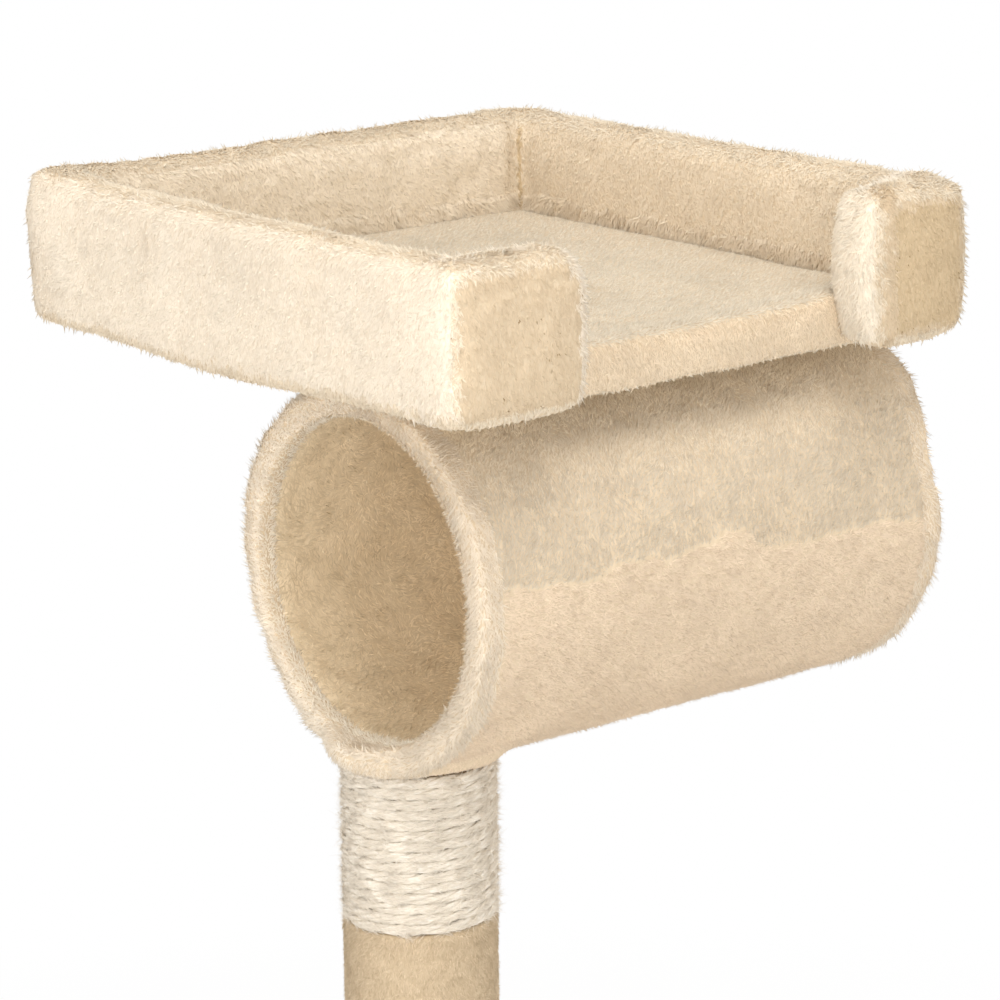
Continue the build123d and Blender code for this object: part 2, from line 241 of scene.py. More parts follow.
def pile(name, mesh, dyes, grow, seed):
    """Grows tufts of pile from a mesh. grow(roots, ups) says for each root how the tuft there stands.

    It returns spacing, length, width, lean (from upright), way (the nap's direction) and shade (0 dark to
    1 pale). It may add palette (which colour of the dyes), standing (the share of tufts that stand up from
    the nap) and standing_length (how long these are against the rest).
    """
    def column(values):
        return np.reshape(values, (-1, 1))

    draw = np.random.default_rng(seed)
    points, normals, triangles = read_mesh(mesh)
    corners = points[triangles]
    span = np.cross(corners[:, 1] - corners[:, 0], corners[:, 2] - corners[:, 0])
    area = np.linalg.norm(span, axis=1) / 2
    spacing = grow(corners.mean(axis=1), unit(span))["spacing"] * thinning
    reach = np.cumsum(np.where(spacing > 0, area / np.maximum(spacing, 0.1 * mm) ** 2, 0))
    marks = np.arange(int(reach[-1])) + draw.random(int(reach[-1]))
    picked = np.searchsorted(reach, marks).clip(max=len(triangles) - 1)
    share = draw.random((len(marks), 2))
    share = np.where(share.sum(axis=1, keepdims=True) > 1, 1 - share, share)
    weight = np.column_stack([1 - share.sum(axis=1), share])
    roots = np.einsum("nk,nkj->nj", weight, corners[picked])
    ups = unit(np.einsum("nk,nkj->nj", weight, normals[triangles[picked]]))
    how = grow(roots, ups)
    clump = swirls(roots, 7 * mm, seed)
    stray = draw.normal(size=(len(roots), 3))
    nap = unit(how["way"]) + 0.4 * clump + 0.4 * stray
    nap = unit(nap - ups * (nap * ups).sum(axis=1, keepdims=True))
    standing = draw.random((len(roots), 1)) < column(how.get("standing", 0.16))
    lean = column(how["lean"]) * np.where(standing, 0.45, 1)
    along = unit(ups * np.cos(lean) + nap * np.sin(lean))
    length = column(how["length"] * (0.7 + 0.6 * draw.random(len(roots))))
    width = column(how["width"] * (0.75 + 0.5 * draw.random(len(roots))) * thinning)
    standing_length = column(how.get("standing_length", 0.65))
    length = length * np.where(standing, standing_length, 1) * (1 + 0.2 * clump[:, :1])
    width = width * np.where(standing, 0.65, 1)
    side = unit(np.cross(along, ups + 0.1 * stray))
    over = np.cross(side, along)
    root_depth = 0.3 * mm
    foot = roots - ups * root_depth
    half = side * width / 2
    ridge = over * width * np.where(standing, 0.8, 0.2)
    tip = foot + along * length
    least_height = 0.5 * mm
    tip[:, 2] = np.maximum(tip[:, 2], least_height)
    tuft_points = np.stack([foot - half, foot + half, foot + ridge, tip], axis=1)
    round_side = side * np.where(standing, 0.87, 0.25)
    round_over = over * np.where(standing, -0.5, 1)
    round_tip = np.where(standing, along, over + 0.2 * along)
    soft = (ups + 0.2 * clump) * np.where(standing, 0.4, 1)
    tuft_normals = np.stack([round_over - round_side, round_over + round_side, over, round_tip], axis=1)
    tuft_normals = tuft_normals + soft[:, None, :]
    under_normals = np.where(standing[:, None], tuft_normals[:, [1, 0, 3]], (0.3 * along - over)[:, None])
    tuft_normals = np.concatenate([tuft_normals, under_normals], axis=1)
    tuft_points = np.concatenate([tuft_points, tuft_points[:, [1, 0, 3]]], axis=1)
    tuft_faces = np.array([[0, 1, 2], [0, 2, 3], [2, 1, 3], [4, 5, 6]])
    count = len(roots)
    points_each = tuft_points.shape[1]
    tufts = bpy.data.meshes.new(name)
    tufts.vertices.add(points_each * count)
    tufts.loops.add(tuft_faces.size * count)
    tufts.polygons.add(len(tuft_faces) * count)
    tufts.vertices.foreach_set("co", tuft_points.astype(np.float32).ravel())
    all_faces = tuft_faces + points_each * np.arange(count)[:, None, None]
    tufts.loops.foreach_set("vertex_index", all_faces.ravel())
    tufts.polygons.foreach_set("loop_start", np.arange(0, all_faces.size, 3))
    shade = how["shade"] + 0.2 * draw.normal(size=count)
    shades = len(dye_lifts)
    dye = np.clip(shades * shade, 0, shades - 1).astype(np.int32) + shades * how.get("palette", 0)
    tufts.polygons.foreach_set("material_index", np.repeat(dye, len(tuft_faces)))
    tufts.update(calc_edges=True)
    piece = new_piece(name, tufts, dyes)
    normal = tufts.attributes.new("custom_normal", "FLOAT_VECTOR", "POINT")
    normal.data.foreach_set("vector", unit(tuft_normals.reshape(-1, 3)).astype(np.float32).ravel())
    return piece


dye_lifts = (-8, -3, 2, 6)


def pile_dyes(name, *colours, spread=1.0):
    """Four close shades of each colour, dark to pale, that the fibres of a pile come in."""
    dyes = []
    for number, colour in enumerate(colours):
        for lift in dye_lifts:
            dye, _, shader = new_finish(f"{name}_{number}_{lift}", 0.95)
            shade = np.clip(np.add(colour, lift * spread), 0, 254)
            shader.inputs["Base Color"].default_value = tone(*shade)
            shader.inputs["Specular IOR Level"].default_value = 0
            dyes.append(dye)
    return dyes


def plush_cloth(name, red, green, blue):
    """The cloth that a pile grows from: mottled, with the fine ribs of its knit."""
    cloth, tree, shader = new_finish(name, 0.95)
    mottle = grain(tree, "TexNoise", 190, detail=6)
    dark = tone(red - 12, green - 13, blue - 14)
    stain(tree, mottle["Fac"], shader, [(0.3, dark), (0.7, tone(red, green, blue))])
    knit = grain(tree, "TexNoise", 900, (1, 1, 0.4), 2)
    emboss(tree, knit["Fac"], shader, 0.3 * mm)
    return cloth


thinning = 1.0
cream = (240, 221, 190)
cream_dyes = pile_dyes("cream_pile", cream)
cream_cloth = plush_cloth("cream_cloth", 226, 207, 179)
base_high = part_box("base_cover")[1]
board_low, board_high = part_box("base_board")
base_half = base_high.x
board_inset = base_high.x - board_high.x
base_corner = 45 * mm
base_pile = 3 * mm
base_round = 8 * mm
base_inmost = 180 * mm
hem_width = 30 * mm
hem_inset = board_inset + hem_width


def base_outline(inset, height):
    """The base's rounded square, drawn in by that much, at that height."""
    corner = max(base_corner - inset, 6 * mm)
    middle = max(base_half - inset - corner, 0)
    loop = []
    for quarter, (x, y) in enumerate([(1, 1), (-1, 1), (-1, -1), (1, -1)]):
        for step in range(9):
            angle = (quarter + step / 8) * pi / 2
            loop.append((x * middle + corner * cos(angle), y * middle + corner * sin(angle), height))
    return loop


base_top = base_high.z - base_pile
base_profile = [(inset, base_top) for inset in (base_inmost, 100 * mm, 40 * mm, base_pile + base_round)]
for step in range(1, 5):
    turn = step / 4 * pi / 2
    base_profile.append((base_pile + base_round * (1 - sin(turn)), base_top - base_round * (1 - cos(turn))))
base_profile += [(base_pile, 3 * mm), (base_pile + 1.5 * mm, 0), (hem_inset, 0), (hem_inset, board_low.z)]
base_profile += [(board_inset, board_low.z), (board_inset, board_high.z), (base_inmost, board_high.z)]
base_skin = lofted("base_cover", [base_outline(inset, height) for inset, height in base_profile])
base_cover = new_piece("base_cover_cloth", base_skin, [cream_cloth])
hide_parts("base_cover")
post_low, post_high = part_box("post_tube")
post_x = (post_low.x + post_high.x) / 2
post_y = (post_low.y + post_high.y) / 2
sleeve_low, sleeve_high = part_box("post_sleeve")
sleeve_radius = (sleeve_high.x - sleeve_low.x) / 2


def base_growth(roots, ups):
    x, y, z = roots.T
    outside = (ups[:, :2] * roots[:, :2]).sum(axis=1) > 0.3 * base_half
    above = (ups[:, 2] > 0.5) & (z > board_high.z)
    clear_of_post = np.hypot(x - post_x, y - post_y) > sleeve_radius
    combed = np.column_stack([drift(roots, 90 * mm, 5), drift(roots, 90 * mm, 6) - 1, 0 * z + 0.1])
    return {
        "spacing": np.where((outside | above) & clear_of_post, 2.4 * mm, 0),
        "length": 8 * mm,
        "width": 1.9 * mm,
        "lean": radians(76),
        "way": combed,
        "shade": 0.55 + 0.16 * drift(roots, 60 * mm, 7) + 0.12 * drift(roots, 12 * mm, 8),
    }


pile("base_cover_pile", base_skin, cream_dyes, base_growth, 11)


# Post: a spiral-wound cardboard tube, with a wooden plug glued in each end.
# The bolt pulls on the foot plug, and the tunnel sits in the saddle cut across the tube's top.
wood_rings = [(0.35, tone(178, 140, 94)), (0.65, tone(222, 190, 146))]
plug_wood = grained("plug_wood", 0.7, 60, (6, 1, 0.4), wood_rings, 0.2 * mm)
for plug in ("post_foot_plug", "post_saddle_plug"):
    dress(plug, plug_wood)

card_fibres = [(0.3, tone(150, 120, 84)), (0.7, tone(186, 154, 112))]
tube_card = grained("tube_card", 0.85, 180, (1, 1, 0.5), card_fibres, 0.15 * mm, detail=8)
for tube in ("post_tube", "tunnel_tube"):
    dress(tube, tube_card)


# Post sleeve: short-napped plush wrapped round the post and glued, closed by a butted seam at the back.
# Its nap lies downwards, so it looks flatter. Its tan dye is darker than the tray's plush, in part as
# painted shade for the dimmer light on the post.
def bell(offset, width):
    """One where offset is nought, falling off softly on both sides of it."""
    return np.exp(-((offset / width) ** 2))


def rising(offset, length):
    """Nought up to where offset is nought, and from there rising to one over that length."""
    return np.clip(offset / length, 0, 1)


def turned(name, profile, steps, place, swell=lambda along, angle: 0):
    """A closed ring turned from (along, radius) points. swell(along, angle) adds to the radius."""
    points = []
    for step in range(steps):
        angle = 2 * pi * step / steps
        for along, radius in profile:
            out = radius + swell(along, angle)
            points.append(place @ Vector((out * cos(angle), out * sin(angle), along)))
    return new_mesh(name, points, ring_faces(steps, len(profile), closed=True))


# The tan is darkened in part as painted shade, for the dimmer light that falls on the post.
tan = (206, 186, 157)
tan_dyes = pile_dyes("tan_nap", tan, spread=2.2)
tan_cloth = plush_cloth("tan_cloth", *tan)
sleeve_nap = 1.2 * mm
sleeve_seam = radians(50)


def sleeve_swell(along, angle):
    """The seam's two edges stand up a little on each side of the line where they meet."""
    off = abs((angle - sleeve_seam + pi) % (2 * pi) - pi) * sleeve_radius
    return 0.9 * mm * bell(off - 3 * mm, 2 * mm) - 1.1 * mm * bell(off, 1.2 * mm)


sleeve_top = sleeve_high.z - 2 * mm
sleeve_out = sleeve_radius - sleeve_nap + 0.9 * mm
sleeve_heights = np.linspace(sleeve_low.z, sleeve_top - 2 * mm, 40)
sleeve_profile = [(sleeve_low.z, post_high.x - post_x)]
sleeve_profile += [(height, sleeve_out) for height in sleeve_heights]
sleeve_profile += [(sleeve_top - 0.6 * mm, sleeve_out - 0.7 * mm), (sleeve_top, sleeve_out - 2 * mm)]
sleeve_profile += [(sleeve_top, post_high.x - post_x)]
post_place = Matrix.Translation((post_x, post_y, 0))
sleeve_skin = turned("post_sleeve", sleeve_profile, 240, post_place, sleeve_swell)
rope_pitch = 6.2 * mm
rope_end_angle = radians(50)
points = read_mesh(sleeve_skin)[0]
round_post = np.arctan2(points[:, 1] - post_y, points[:, 0] - post_x)
turned_share = (round_post - rope_end_angle) % (2 * pi) / (2 * pi)
points[:, 2] += turned_share * rope_pitch * rising(points[:, 2] - sleeve_top + 14 * mm, 12 * mm)
move_points(sleeve_skin, points)
post_sleeve = new_piece("post_sleeve_cloth", sleeve_skin, [tan_cloth])
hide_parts("post_sleeve")


def sleeve_growth(roots, ups):
    x, y, z = roots.T
    out = np.hypot(x - post_x, y - post_y) > sleeve_out - 2.5 * mm
    near_rope = z > sleeve_top - 60 * mm
    down = np.full(len(roots), -1.0)
    wander = np.column_stack([0.5 * drift(roots, 16 * mm, 20), 0.5 * drift(roots, 16 * mm, 21), down])
    return {
        "spacing": np.where(out, np.where(near_rope, 1.0 * mm, 2.0 * mm), 0),
        "length": 3 * mm,
        "width": np.where(near_rope, 0.8 * mm, 1.5 * mm),
        "lean": radians(70),
        "way": wander,
        "shade": 0.5 + 0.16 * drift(roots, 40 * mm, 22) + 0.25 * drift(roots, 5 * mm, 23),
    }


pile("post_sleeve_nap", sleeve_skin, tan_dyes, sleeve_growth, 21)


# Sisal winding: one rope of five thin strands laid up together, wound tightly round the post in close turns.
# Its last turn is tucked under the tunnel's collar. Each strand is a bundle of coarse fibres,
# and some of them stand off.
rope_low, rope_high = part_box("sisal_winding")
rope_turns = 14
rope_radius = 2.875 * mm
rope_reach = (rope_high.x - rope_low.x) / 2 - rope_radius
rope_rise = rope_turns * rope_pitch
rope_start = (rope_low.z + rope_high.z - rope_rise) / 2 - 1.5 * mm
tucked_turns = 1
strand_count = 5
strand_radius = 1.6 * mm
strand_offset = 1.75 * mm
strand_lay = 46 * mm
rope_press = 0.85
strand_sides = 10
fibre_ridges = 3
steps_per_turn = 110


def drift_along(line, cell, seed):
    """A drift that changes along a line only."""
    return drift(np.column_stack([line, 0 * line, 0 * line]), cell, seed)


def rope_line(turn):
    """The rope's middle line, with the frame that its strands turn in: outwards and along the post."""
    angle = rope_end_angle + 2 * pi * turn
    out = np.column_stack([np.cos(angle), np.sin(angle), 0 * turn])
    up = np.column_stack([0 * turn, 0 * turn, 1 + 0 * turn])
    middle = out * rope_reach + up * (rope_start + turn * rope_pitch)[:, None]
    return middle + (post_x, post_y, 0), out, up


def rope_strand(number):
    """One strand's points, ring by ring, with the ridges of its fibres."""
    turn = np.linspace(0, rope_turns + tucked_turns, (rope_turns + tucked_turns) * steps_per_turn + 1)
    middle, out, up = rope_line(turn)
    run = turn * 2 * pi * rope_reach
    wobble = drift_along(run, 30 * mm, 30 + number)
    lay = 2 * pi * (run / strand_lay + number / strand_count) + 0.7 * wobble
    offset = strand_offset * (1 + 0.13 * wobble)
    sway = 0.3 * mm * drift_along(run, 45 * mm, 33)

    def turned_to(angle):
        return np.cos(angle)[:, None] * (out * rope_press) + np.sin(angle)[:, None] * up

    centre = middle + offset[:, None] * turned_to(lay) + sway[:, None] * up
    rings = []
    for side in range(strand_sides):
        angle = 2 * pi * side / strand_sides
        place = np.column_stack([run, 0 * run + side * 0.7 * mm, 0 * run])
        ridge = 0.08 * np.cos(fibre_ridges * angle + run / (2.4 * mm))
        radius = strand_radius * (1 + ridge + 0.09 * drift(place, 2.6 * mm, 40 + number))
        rings.append(centre + radius[:, None] * turned_to(angle + lay * 0.5))
    return np.stack(rings, axis=1)


strand_points = []
strand_faces = []
for number in range(strand_count):
    rings = rope_strand(number)
    first = number * len(rings) * strand_sides
    strand_points.append(rings.reshape(-1, 3))
    strand_faces += (first + np.array(ring_faces(len(rings), strand_sides))).tolist()
    end = first + (len(rings) - 1) * strand_sides
    strand_faces.append([first + i for i in range(strand_sides)])
    strand_faces.append([end + i for i in reversed(range(strand_sides))])
rope_mesh = new_mesh("sisal_winding", np.concatenate(strand_points).tolist(), strand_faces)

sisal, tree, shader = new_finish("sisal", 0.75)
strands = grain(tree, "TexNoise", 260, (1, 1, 5), 5)
sisal_stops = [(0.32, tone(221, 211, 195)), (0.5, tone(234, 225, 211)), (0.7, tone(246, 240, 231))]
stain(tree, strands["Fac"], shader, sisal_stops)
threads = grain(tree, "TexNoise", 420, (1, 1, 5), 3)
emboss(tree, threads["Fac"], shader, 0.35 * mm)
sisal_winding = new_piece("sisal_rope", rope_mesh, [sisal])
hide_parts("sisal_winding")
sisal_dyes = pile_dyes("sisal_fibre", (236, 227, 213), spread=1.6)


def fibre_growth(roots, ups):
    """Loose fibres lie along the rope, a few of them well off it."""
    x, y, z = roots.T
    across = np.column_stack([post_y - y, x - post_x, 0 * z])
    outer = np.hypot(x - post_x, y - post_y) > rope_reach + 0.6 * rope_radius
    loose = (drift(roots, 3 * mm, 50) > 0.55) & outer
    return {
        "spacing": np.where(outer, 0.9 * mm, 0),
        "length": np.where(loose, 6 * mm, 9 * mm),
        "width": 0.36 * mm,
        "standing": 0.01,
        "lean": np.where(loose, radians(80), radians(87)),
        "way": across * np.sign(drift(roots, 5 * mm, 51))[:, None],
        "shade": 0.6 + 0.3 * drift(roots, 4 * mm, 52),
    }


pile("sisal_fibres", rope_mesh, sisal_dyes, fibre_growth, 53)


# Tunnel cover: plush round the cardboard tube, rolled over both rims and glued inside them as a hem.
# Below it is gathered in a collar against the post's top, and above it is pressed flat by the tray.
def soft_form(blocks, passes):
    """Joins closed blocks into one form whose edges are melted round, and returns its mesh."""
    joined = bmesh.new()
    for block in blocks:
        joined.from_mesh(block)
    mesh = bpy.data.meshes.new("blocks")
    joined.to_mesh(mesh)
    joined.free()
    rough = put_in_scene("blocks", mesh)
    remesh = rough.modifiers.new("remesh", "REMESH")
    remesh.mode = "VOXEL"
    remesh.voxel_size = 3 * mm
    smooth = rough.modifiers.new("smooth", "SMOOTH")
    smooth.factor = 0.5
    smooth.iterations = passes
    bpy.context.view_layer.update()
    form = bpy.data.meshes.new_from_object(rough.evaluated_get(bpy.context.evaluated_depsgraph_get()))
    bpy.data.objects.remove(rough)
    return form


tube_low, tube_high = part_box("tunnel_tube")
cover_low, cover_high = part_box("tunnel_cover")
tunnel_y = (tube_low.y + tube_high.y) / 2
tunnel_z = (tube_low.z + tube_high.z) / 2
tunnel_radius = (cover_high.y - cover_low.y) / 2
bore_radius = 92 * mm
rim_plush = 8 * mm
rim_hem = 17 * mm
tunnel_near = tube_low.x - rim_plush
tunnel_far = tube_high.x + rim_plush
tunnel_pile = 2 * mm
tunnel_place = Matrix.Translation((0, tunnel_y, tunnel_z)) @ Matrix.Rotation(pi / 2, 4, "Y")
behind_lining = tube_high.z - tunnel_z - 4 * mm
tunnel_profile = [(tunnel_near, bore_radius), (tunnel_near, tunnel_radius)]
tunnel_profile += [(tunnel_far, tunnel_radius), (tunnel_far, bore_radius)]
tunnel_profile += [(tunnel_far - rim_hem, bore_radius), (tunnel_far - rim_hem - 5 * mm, behind_lining)]
tunnel_profile += [(tunnel_near + rim_hem + 5 * mm, behind_lining), (tunnel_near + rim_hem, bore_radius)]
tunnel_ring = turned("tunnel_ring", tunnel_profile, 128, tunnel_place)
collar_bottom = tunnel_z - tunnel_radius - 1.5 * mm
collar_profile = [(48, 0), (48.5, 3), (51, 7), (55, 12), (55, 20)]
collar_rise = Vector((0.77, -0.64))
collar_lift = Vector((-0.64, -0.77))
collar_loops = []
for radius, height in collar_profile:
    ring = []
    reach = radius * mm
    for step in range(64):
        angle = -2 * pi * step / 64
        out = Vector((cos(angle), sin(angle)))
        tilt = 2.2 * mm * out.dot(collar_rise) + 3.5 * mm * max(0, out.dot(collar_lift))
        level = collar_bottom + height * mm + tilt
        ring.append((post_x + reach * out.x, post_y + reach * out.y, level))
    collar_loops.append(ring)
collar = lofted("collar", collar_loops)
tunnel_skin = soft_form([tunnel_ring, collar], 14)


def round_tunnel(roots):
    """How far each root is from the tunnel's middle line, and how far above its front, in degrees."""
    rise = roots[:, 2] - tunnel_z
    ahead = tunnel_y - roots[:, 1]
    return np.hypot(rise, ahead), np.degrees(np.arctan2(rise, ahead))


points, normals, _ = read_mesh(tunnel_skin)
lumps = 0.8 * drift(points, 50 * mm, 60) + 0.5 * drift(points, 20 * mm, 61)
radius, height = round_tunnel(points)


def swelling(at, spread):
    """How much of a swelling round that angle, in degrees above the front, reaches each point."""
    return bell((height - at + 180) % 360 - 180, spread)


near_share = rising(-60 * mm - points[:, 0], 60 * mm)
far_share = rising(points[:, 0] - 90 * mm, 60 * mm)
lumps += near_share * (4 * swelling(112, 14) + 1.5 * swelling(150, 26) - 3 * swelling(-142, 28))
far_lumps = 3 * swelling(48, 16) - 4 * swelling(17, 13) + 1 * swelling(-25, 30)
lumps += 2.2 * swelling(-80, 45) + far_share * far_lumps
rim_share = rising(tunnel_near + 26 * mm - points[:, 0], 12 * mm)
rim_share += rising(points[:, 0] - tunnel_far + 26 * mm, 12 * mm)
lumps += (0.25 + 0.75 * rim_share) * drift(points, 10 * mm, 77)
outer_share = rising(radius - tunnel_radius + 12 * mm, 6 * mm)
points = points + normals * (lumps * outer_share * mm - tunnel_pile)[:, None]
tray_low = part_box("tray_floor_cover")[0]
points[:, 2] = np.minimum(points[:, 2], tray_low.z - 1 * mm)
move_points(tunnel_skin, points)
tunnel_cover = new_piece("tunnel_cover_cloth", tunnel_skin, [cream_cloth])
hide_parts("tunnel_cover")

tunnel_shades = {
    "brushed": (212, 198, 177),
    "combed": (230, 210, 185),
    "rolled": (233, 219, 199),
    # Palest of the brushed dyes, high on the front right under the tray: painted light that lifts the tray's
    # shade.
    "painted_light_under_tray": (243, 228, 203),
    # A paler dye on the rims' far half: painted light that lifts the shade there.
    "rolled_painted_light": (244, 232, 214),
    # The hem just inside the bore, paler still: painted light that lifts the shade in the bore's mouth.
    "hem_inside_painted_light": (250, 240, 223),
    # A step paler than the brushed dye, a little lower: painted light under the tray.
    "half_painted_light_under_tray": (228, 213, 190),
}
tunnel_dyes = pile_dyes("tunnel_pile", *tunnel_shades.values())
front_from, front_to = -125, 100
part_split = 10 * mm
collar_reach = 56 * mm


def painted(shades, ground, layers):
    """The number of each root's shade: ground, and over it each layer's where that layer lies."""
    numbers = {shade: number for number, shade in enumerate(shades)}
    palette = numbers[ground]
    for place, shade in layers:
        palette = np.where(place, numbers[shade], palette)
    return palette


def nap_line(x):
    """Where along the front the pile brushed up meets the pile combed along, in degrees above the middle."""
    tongue = 5 * bell(x - 27 * mm, 14 * mm)
    return 4.5 - 22 * x + tongue + 2.0 * drift_along(x, 28 * mm, 62) + 1.0 * drift_along(x, 9 * mm, 63)


def tunnel_growth(part, roots, ups):
    x, y, z = roots.T
    radius, height = round_tunnel(roots)
    near_rim = x < tunnel_near + rim_hem
    far_rim = x > tunnel_far - rim_hem
    on_rim = near_rim | far_rim
    outside = (radius > tunnel_radius - 8 * mm) | on_rim
    front = (height > front_from) & (height < front_to)
    hidden = z > tray_low.z - 6 * mm
    parts = {"rims": on_rim, "back": ~on_rim & ~front}
    parts["front_near"] = ~on_rim & front & (x < part_split)
    parts["front_far"] = ~on_rim & front & (x >= part_split)
    fine = np.where(near_rim, 1.05 * mm, np.where(far_rim, 1.5 * mm, 1.15 * mm))
    spacing = np.where(front | near_rim, fine, 1.75 * mm)
    spacing = np.where(outside & parts[part] & ~hidden, spacing, 0)
    brushed = (height > nap_line(x)) & (height < 150)
    swirl = swirls(roots, 24 * mm, 64)
    around = np.column_stack([0 * x, z - tunnel_z, tunnel_y - y]) / tunnel_radius
    combed_way = 0.35 * swirl + (1.0, 0, -0.25)
    brushed_way = around + 0.7 * swirl + (0.2, 0, 0)
    inwards = rising(bore_radius + 9 * mm - radius, 5 * mm)[:, None]
    depth = np.minimum(x - tunnel_near, tunnel_far - x) + 2 * mm * drift(roots, 6 * mm, 75)
    outwards = np.where(near_rim, 1.2, -1.2) * np.clip((depth - 10 * mm) / (5 * mm), -1, 1)
    out_of_bore = np.column_stack([outwards, 0 * x, 0 * x]) - 0.8 * around
    rim_way = -around * (1 - inwards) + out_of_bore * inwards + 0.7 * swirl
    way = np.where(brushed[:, None], brushed_way, combed_way)
    way = np.where(on_rim[:, None], rim_way, way)
    lean = np.where(on_rim, radians(74), radians(77))
    collar = np.hypot(x - post_x, y - post_y) < collar_reach
    on_collar = collar & (z < tunnel_z - tunnel_radius + 12 * mm)
    way = np.where(on_collar[:, None], 0.3 * swirl + (0, 0, -1.0), way)
    mottle = 0.14 * drift(roots, 40 * mm, 67) + 0.14 * drift(roots, 6 * mm, 68)
    behind = y > tunnel_y + 20 * mm * drift(roots, 15 * mm, 69)
    on_hem = on_rim & (radius < bore_radius + 4 * mm) & (depth > 6 * mm)
    up_front = height + 9 * drift(roots, 0.8 * mm, 70)
    on_brushed = brushed & ~on_collar
    layers = (
        (on_brushed, "brushed"),
        # High on the front, under the tray, the brushed pile takes paler dyes in two steps: painted light
        # against the tray's shade.
        (on_brushed & (up_front > 34), "half_painted_light_under_tray"),
        (on_brushed & (up_front > 52), "painted_light_under_tray"),
        (on_rim, "rolled"),
        # Paler on the rims' far half: painted light.
        (on_rim & behind, "rolled_painted_light"),
        # Paler on the hem inside the bore: painted light.
        (on_hem, "hem_inside_painted_light"),
    )
    return {
        "spacing": spacing,
        "length": np.where(on_collar, 2.6 * mm, np.where(on_rim, 4.8 * mm, 4.2 * mm)),
        "standing": np.where(on_rim, 0.22, np.where(on_collar, 0.04, 0.14)),
        "standing_length": np.where(on_rim & (radius > bore_radius + 6 * mm), 1.0, 0.65),
        "width": np.where(spacing > 1.6 * mm, 1.5 * mm, 1.0 * mm),
        "lean": lean,
        "way": way,
        "shade": 0.5 + mottle * np.where(brushed, 1, 1.8),
        "palette": painted(tunnel_shades, "combed", layers),
    }


for seed, part in ((71, "rims"), (72, "front_near"), (73, "front_far"), (74, "back")):
    grow = partial(tunnel_growth, part)
    pile(f"tunnel_cover_pile_{part}", tunnel_skin, tunnel_dyes, grow, seed)


# Tunnel lining: a sheet of shorter plush glued round the inside of the cardboard tube.
# Its two ends are hidden under the hems of the outer cover.
lining_low, lining_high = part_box("tunnel_lining")
lining_pile = 1.2 * mm
lining_out = (lining_high.z - lining_low.z) / 2
lining_in = bore_radius + lining_pile
lining_near = tunnel_near + rim_hem - 5 * mm
lining_far = tunnel_far - rim_hem + 5 * mm
lining_profile = [(lining_near, lining_out), (lining_far, lining_out)]
for x in np.linspace(lining_far, lining_near, 80):
    tuck = np.clip(1 - min(x - lining_near, lining_far - x) / (9 * mm), 0, 1)
    lining_profile.append((x, lining_in + 2.2 * mm * tuck**2))
lining_skin = turned("tunnel_lining", lining_profile, 160, tunnel_place)
points, normals, _ = read_mesh(lining_skin)
points = points + normals * (0.5 * mm * drift(points, 26 * mm, 80))[:, None]
move_points(lining_skin, points)
lining = (236, 217, 186)
lining_dyes = pile_dyes("lining_pile", lining, spread=2.6)
lining_cloth = plush_cloth("lining_cloth", *lining)
tunnel_lining = new_piece("tunnel_lining_cloth", lining_skin, [lining_cloth])
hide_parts("tunnel_lining")


def lining_growth(part, roots, ups):
    x, y = roots[:, :2].T
    radius = round_tunnel(roots)[0]
    swirl = swirls(roots, 18 * mm, 81)
    parts = {"front": y < tunnel_y, "back": y >= tunnel_y}
    # Its pile is dyed darker near the mouths and paler deeper in: painted shade and painted light that even
    # out the light inside the bore.
    paler_deeper_in = rising(np.minimum(x - lining_near, lining_far - x), 150 * mm)
    return {
        "spacing": np.where(parts[part] & (radius < lining_in + 2.5 * mm), 1.5 * mm, 0),
        "length": 4.2 * mm,
        "width": 1.4 * mm,
        "lean": radians(79),
        "way": swirl + (0.4, 0, -0.4),
        "shade": 0.15 + 0.75 * paler_deeper_in + 0.26 * drift(roots, 22 * mm, 84) + 0.14 * drift(roots, 8 * mm, 85),
        "standing": 0.03,
    }


for seed, part in ((86, "front"), (87, "back")):
    grow = partial(lining_growth, part)
    pile(f"tunnel_lining_pile_{part}", lining_skin, lining_dyes, grow, seed)


# Tray boards: five short boards butted into a wall round the floor board, glued and stapled.
# All of them are hidden under the plush.
wood_figure = [(0.35, tone(184, 148, 102)), (0.65, tone(220, 190, 146))]
board_wood = grained("board_wood", 0.75, 40, (1, 6, 6), wood_figure, 0.2 * mm)
wall_names = ("left", "right", "back", "front_left", "front_right")
for board in ["tray_floor_board"] + [f"tray_{wall}_board" for wall in wall_names]:
    dress(board, board_wood)


# Tray floor cover: plush glued over the floor board and rolled round its front edge as a soft lip.
# Its nap is short and lies sideways, from a cat's and a hand's strokes.
def block(low, high):
    """A plain box between two corners, as a mesh to melt into a form."""
    box = bmesh.new()
    middle = Matrix.Translation((Vector(low) + Vector(high)) / 2)
    bmesh.ops.create_cube(box, size=1, matrix=middle @ Matrix.Diagonal((*(Vector(high) - Vector(low)), 1)))
    mesh = bpy.data.meshes.new("block")
    box.to_mesh(mesh)
    box.free()
    return mesh


def melt(mesh, share, passes):
    """Rounds a form further where share is above nought, drawing its points to their neighbours' middle."""
    ends = np.empty(2 * len(mesh.edges), np.int32)
    mesh.edges.foreach_get("vertices", ends)
    first, second = ends.reshape(-1, 2).T
    points = read_mesh(mesh)[0]
    count = len(points)
    links = np.bincount(ends, minlength=count)
    for _ in range(passes):
        for axis in range(3):
            line = points[:, axis]
            drawn = np.bincount(first, line[second], count) + np.bincount(second, line[first], count)
            points[:, axis] = line + 0.5 * share * (drawn / links - line)
    move_points(mesh, points)


